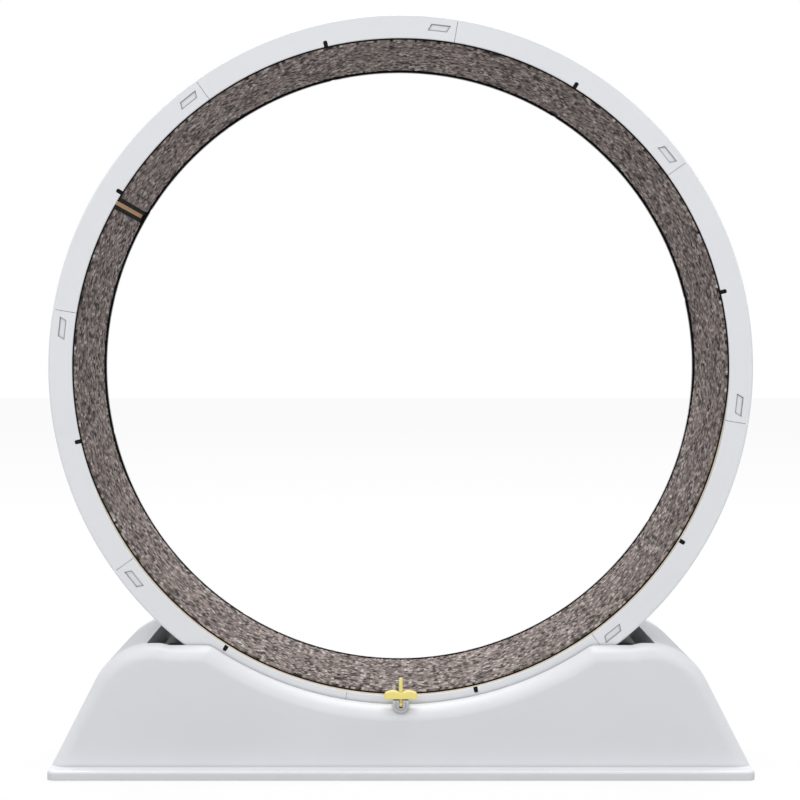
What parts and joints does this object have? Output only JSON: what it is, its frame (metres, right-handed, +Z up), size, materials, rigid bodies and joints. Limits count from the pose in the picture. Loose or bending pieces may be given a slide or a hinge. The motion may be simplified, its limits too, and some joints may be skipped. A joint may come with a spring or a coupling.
{
  "type": "pet exercise wheel",
  "caption": "Large carpet-lined running wheel for a house pet, built of snap-together hoop segments that turn on rubber rollers in a moulded tub base with a small wheel lock.",
  "frame": {"origin": "on the floor, under the middle of the base", "axes": "+X along the base, -Y is the side with the wheel lock, +Z up; the wheel turns about Y"},
  "size_m": [1, 0.36, 1.076],
  "materials": {
    "rim_plastic": "fine satin moulded ABS",
    "base_plastic": "smooth satin moulded ABS",
    "running_board": "flexible wood strip, sanded",
    "carpet": "heathered brown-grey loop pile",
    "binding_tape": "black woven tape",
    "roller_rubber": "matt moulded rubber",
    "roller_plastic": "plain moulded",
    "cradle_plastic": "plain moulded",
    "shaft_steel": "ground",
    "bearing_steel": "polished",
    "screw_steel": "zinc plated",
    "foot_rubber": "moulded",
    "guide_plastic": "slippery acetal",
    "lock_grey": "satin moulded",
    "lock_yellow": "glossy moulded"
  },
  "bodies": {
    "base": {"base_plate": "base_plastic", "base_screws": "screw_steel", "base_shell": "base_plastic", "bearing_inner_races_left": "bearing_steel", "bearing_inner_races_right": "bearing_steel", "cradle_screws": "screw_steel", "guide_button_1": "guide_plastic", "guide_button_2": "guide_plastic", "guide_button_3": "guide_plastic", "guide_button_4": "guide_plastic", "lock_bracket": "lock_grey", "lock_pin": "shaft_steel", "roller_cradle_left_front": "cradle_plastic", "roller_cradle_left_rear": "cradle_plastic", "roller_cradle_right_front": "cradle_plastic", "roller_cradle_right_rear": "cradle_plastic", "roller_shaft_left": "shaft_steel", "roller_shaft_right": "shaft_steel", "rubber_foot_1": "foot_rubber", "rubber_foot_2": "foot_rubber", "rubber_foot_3": "foot_rubber", "rubber_foot_4": "foot_rubber", "rubber_foot_5": "foot_rubber", "rubber_foot_6": "foot_rubber", "shaft_spacers_left": "shaft_steel", "shaft_spacers_right": "shaft_steel"},
    "wheel": {"rim_segment_1": "rim_plastic", "rim_segment_2": "rim_plastic", "rim_segment_3": "rim_plastic", "rim_segment_4": "rim_plastic", "rim_segment_5": "rim_plastic", "rim_segment_6": "rim_plastic", "rim_segment_7": "rim_plastic", "rim_segment_8": "rim_plastic", "running_board": "running_board", "carpet_runner": "carpet", "edge_binding_front": "binding_tape", "edge_binding_rear": "binding_tape", "end_bindings": "binding_tape"},
    "roller_left": {"roller_sleeve_left": "roller_rubber", "roller_core_left": "roller_plastic", "roller_hub_left_front": "roller_plastic", "roller_hub_left_rear": "roller_plastic", "bearing_outer_races_left": "bearing_steel", "bearing_balls_left": "bearing_steel"},
    "roller_right": {"roller_sleeve_right": "roller_rubber", "roller_core_right": "roller_plastic", "roller_hub_right_front": "roller_plastic", "roller_hub_right_rear": "roller_plastic", "bearing_outer_races_right": "bearing_steel", "bearing_balls_right": "bearing_steel"},
    "lock": {"lock_lever": "lock_yellow"}
  },
  "joints": [
    {"name": "wheel_spin", "type": "hinge", "parent": "base", "child": "wheel", "pos_m": [0, 0, 0.576], "axis": [0, 1, 0], "continuous": true},
    {"name": "roller_left_spin", "type": "hinge", "parent": "base", "child": "roller_left", "pos_m": [-0.32003, 0, 0.15315], "axis": [0, 1, 0], "continuous": true},
    {"name": "roller_right_spin", "type": "hinge", "parent": "base", "child": "roller_right", "pos_m": [0.32003, 0, 0.15315], "axis": [0, 1, 0], "continuous": true},
    {"name": "lock_flip", "type": "hinge", "parent": "base", "child": "lock", "pos_m": [0, -0.1515, 0.1018], "axis": [1, 0, 0], "range_deg": [0, 90]}
  ],
  "couplings": [
    {"joint": "roller_left_spin", "follows": "wheel_spin", "ratio": -16.667},
    {"joint": "roller_right_spin", "follows": "wheel_spin", "ratio": -16.667}
  ]
}
